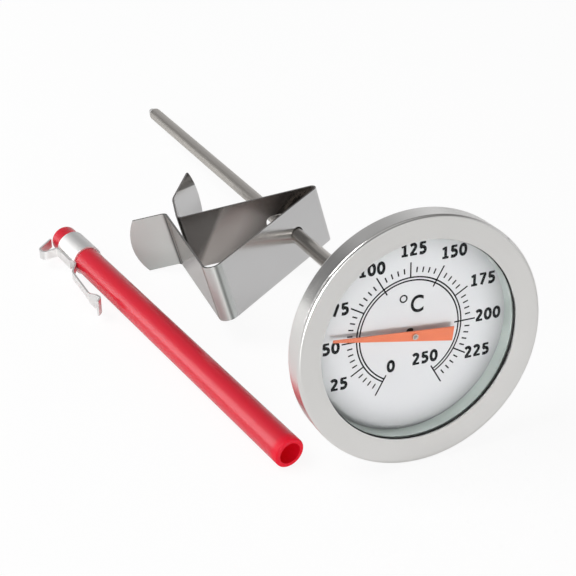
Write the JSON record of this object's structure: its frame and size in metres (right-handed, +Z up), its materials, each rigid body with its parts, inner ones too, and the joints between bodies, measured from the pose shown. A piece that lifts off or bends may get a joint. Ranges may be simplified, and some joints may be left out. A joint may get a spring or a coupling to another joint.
{
  "type": "bimetal dial thermometer with pan clip and sheath",
  "caption": "Dial thermometer with a thin probe stem, a folded steel pan clip on the stem and a separate red pocket sheath lying beside it.",
  "frame": {"origin": "bottom centre of the box round the thermometer and its sheath, on the table they lie on", "axes": "+Z up from the table; +Y from the dial towards the stem's tip, level; +X to the right seen from the dial's front"},
  "size_m": [0.0818, 0.1798, 0.055],
  "materials": {
    "brushed_bezel": "circular brushed stainless steel",
    "case_steel": "satin stainless steel",
    "black_seal": "matte black rubber",
    "glass": "clear flat glass",
    "green_ring": "teal green, satin",
    "dial_white": "matte white paint",
    "spring_steel": "plain spring steel",
    "stem_steel": "polished stainless steel",
    "brass": "turned brass",
    "bimetal": "rolled bimetal strip",
    "hub_metal": "bright nickel plate",
    "pointer_orange": "orange paint, satin",
    "clip_nickel": "bright nickel-plated sheet steel",
    "red_plastic": "glossy red plastic",
    "pocket_nickel": "bright nickel-plated strip"
  },
  "bodies": {
    "head": {"bezel_ring": "brushed_bezel", "case_cup": "case_steel", "window_gasket": "black_seal", "window_glass": "glass", "spacer_ring": "green_ring", "dial_plate": "dial_white", "friction_washer": "spring_steel"},
    "stem": {"stem_tube": "stem_steel", "stem_collar": "stem_steel", "calibration_nut": "stem_steel", "tip_plug": "stem_steel", "upper_bush": "brass", "lower_bush": "brass", "coil_anchor": "stem_steel", "bimetal_coil": "bimetal"},
    "movement": {"spindle": "spring_steel", "coil_collar": "brass", "pointer_hub": "hub_metal", "pointer": "pointer_orange"},
    "pan_clip": {"clip_front": "clip_nickel"},
    "pan_clip_jaw": {"clip_back": "clip_nickel"},
    "sheath": {"sheath_tube": "red_plastic", "clip_band": "pocket_nickel", "clip_loop": "pocket_nickel"},
    "pocket_arm": {"clip_arm": "pocket_nickel"}
  },
  "joints": [
    {"name": "stem_setting", "type": "hinge", "parent": "head", "child": "stem", "pos_m": [0.0134, -0.0802, 0.02703], "axis": [0, 0.9886, -0.1503], "range_deg": [-30, 30]},
    {"name": "pointer_turn", "type": "hinge", "parent": "stem", "child": "movement", "pos_m": [0.0134, -0.0802, 0.02703], "axis": [0, 0.9886, -0.1503], "range_deg": [-67.5, 232.5]},
    {"name": "clip_slide", "type": "slide", "parent": "stem", "child": "pan_clip", "axis": [0, 0.9886, -0.1503], "range_m": [-0.038, 0.095]},
    {"name": "clip_spring", "type": "hinge", "parent": "pan_clip", "child": "pan_clip_jaw", "pos_m": [0.02283, -0.0163, 0.01945], "axis": [0.2181, -0.1467, -0.9648], "range_deg": [0, 6], "stiffness_Nm_per_rad": 0.3},
    {"name": "sheath_slide", "type": "slide", "parent": "head", "child": "sheath", "axis": [-0.1908, 0.9816, 0], "range_m": [-0.02, 0.06]},
    {"name": "pocket_arm_spring", "type": "hinge", "parent": "sheath", "child": "pocket_arm", "pos_m": [-0.03451, 0.00826, 0.00388], "axis": [-0.0007, 0.0038, -1], "range_deg": [0, 8], "stiffness_Nm_per_rad": 0.15}
  ]
}
